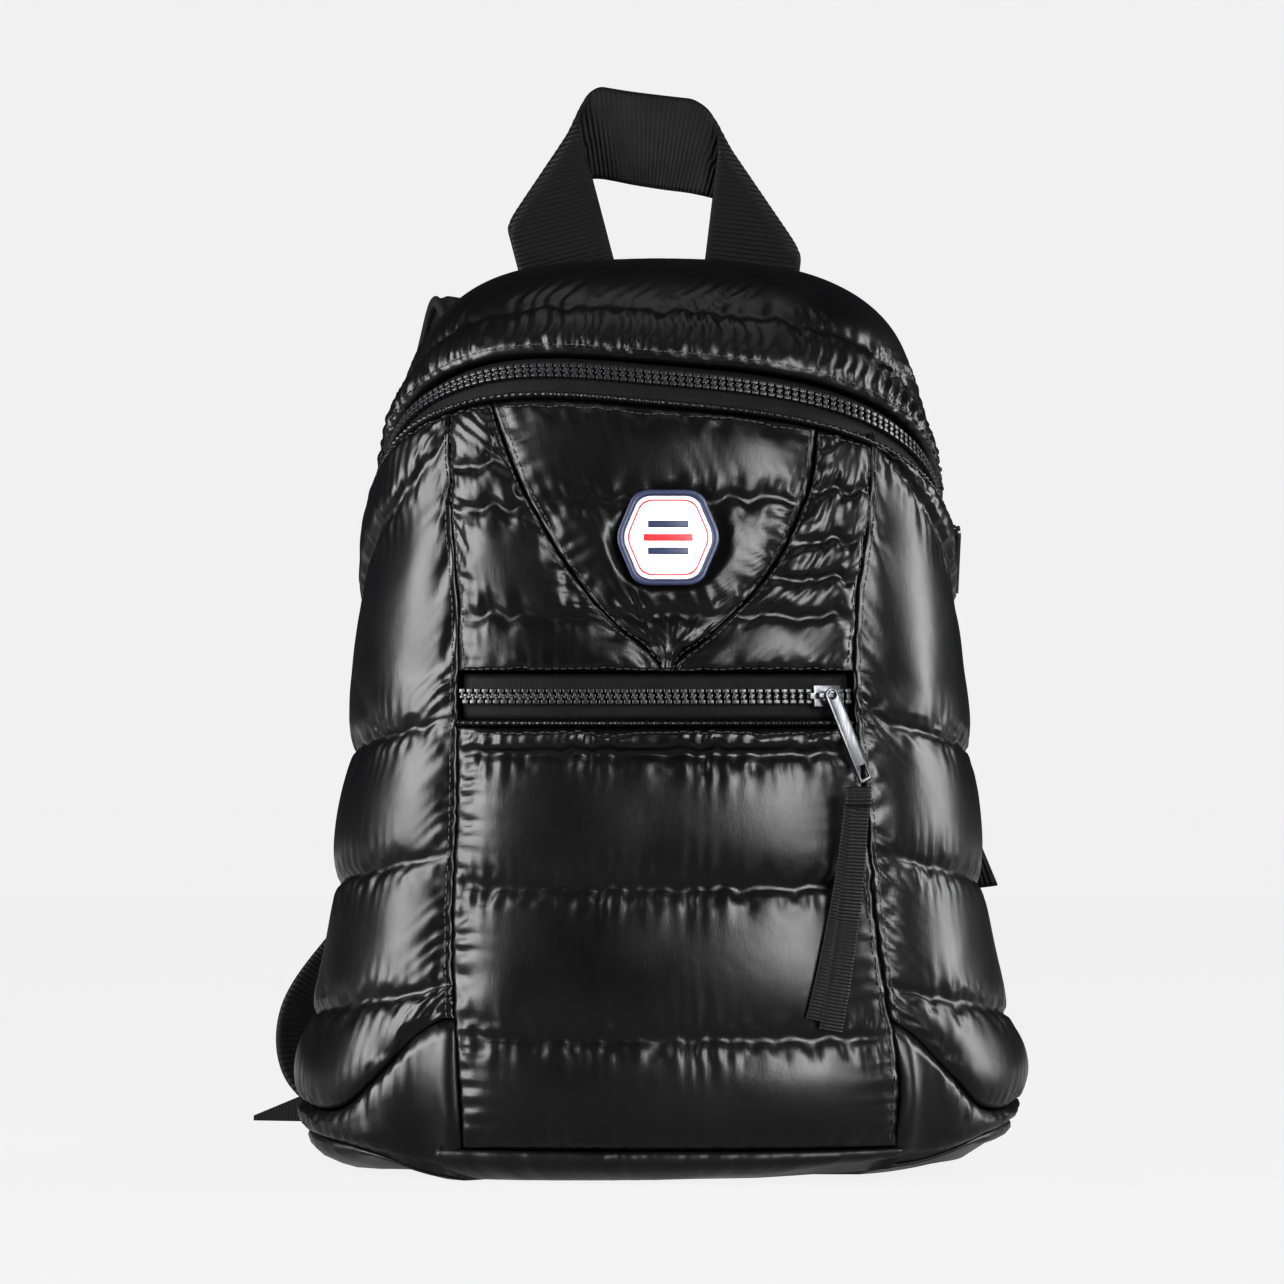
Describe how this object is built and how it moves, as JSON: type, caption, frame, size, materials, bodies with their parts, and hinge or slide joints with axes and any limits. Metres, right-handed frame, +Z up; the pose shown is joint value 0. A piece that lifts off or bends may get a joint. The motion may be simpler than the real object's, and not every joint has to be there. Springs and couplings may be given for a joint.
{
  "type": "quilted puffer backpack",
  "caption": "Small quilted puffer backpack in glossy black nylon, with an arched main zip, a zipped front pocket, a folded webbing handle and padded shoulder straps",
  "frame": {"origin": "middle of the flat base that the bag stands on", "axes": "+Z up, the front with the pocket faces -Y, the shoulder straps hang on the +Y side, +X to the right as seen from the front"},
  "size_m": [0.3148, 0.1892, 0.4343],
  "materials": {
    "quilted_nylon": "glossy, padded and quilted",
    "plain_cloth": "matt, plain weave and mesh",
    "zip_tape": "matt, woven",
    "moulded_plastic": "semi-gloss, moulded",
    "dark_metal": "satin, dark plated",
    "ribbon": "matt, ribbed",
    "webbing": "matt, coarse ribs",
    "badge": "satin, moulded, white field in a navy rim with a red line"
  },
  "bodies": {
    "root": {"yoke_center": "quilted_nylon", "yoke_left": "quilted_nylon", "yoke_right": "quilted_nylon", "pocket_panel": "quilted_nylon", "side_panel_left": "quilted_nylon", "side_panel_right": "quilted_nylon", "lower_corner_left": "quilted_nylon", "lower_corner_right": "quilted_nylon", "top_gusset": "quilted_nylon", "main_zip_piping": "quilted_nylon", "pocket_zip_piping": "quilted_nylon", "base_panel": "plain_cloth", "back_panel": "plain_cloth", "shoulder_strap_left": "plain_cloth", "shoulder_strap_right": "plain_cloth", "anchor_tab_left": "plain_cloth", "anchor_tab_right": "plain_cloth", "main_zip_tape": "zip_tape", "pocket_zip_tape": "zip_tape", "main_zip_chain": "moulded_plastic", "pocket_zip_chain": "moulded_plastic", "ladder_lock_left": "moulded_plastic", "ladder_lock_right": "moulded_plastic", "main_zip_slider": "dark_metal", "main_zip_puller": "dark_metal", "pocket_zip_slider": "dark_metal", "pocket_zip_puller": "dark_metal", "pocket_ribbon_pull": "ribbon", "top_handle": "webbing", "strap_webbing_left": "webbing", "strap_webbing_right": "webbing", "webbing_tail": "webbing", "badge_patch": "badge"}
  },
  "joints": []
}
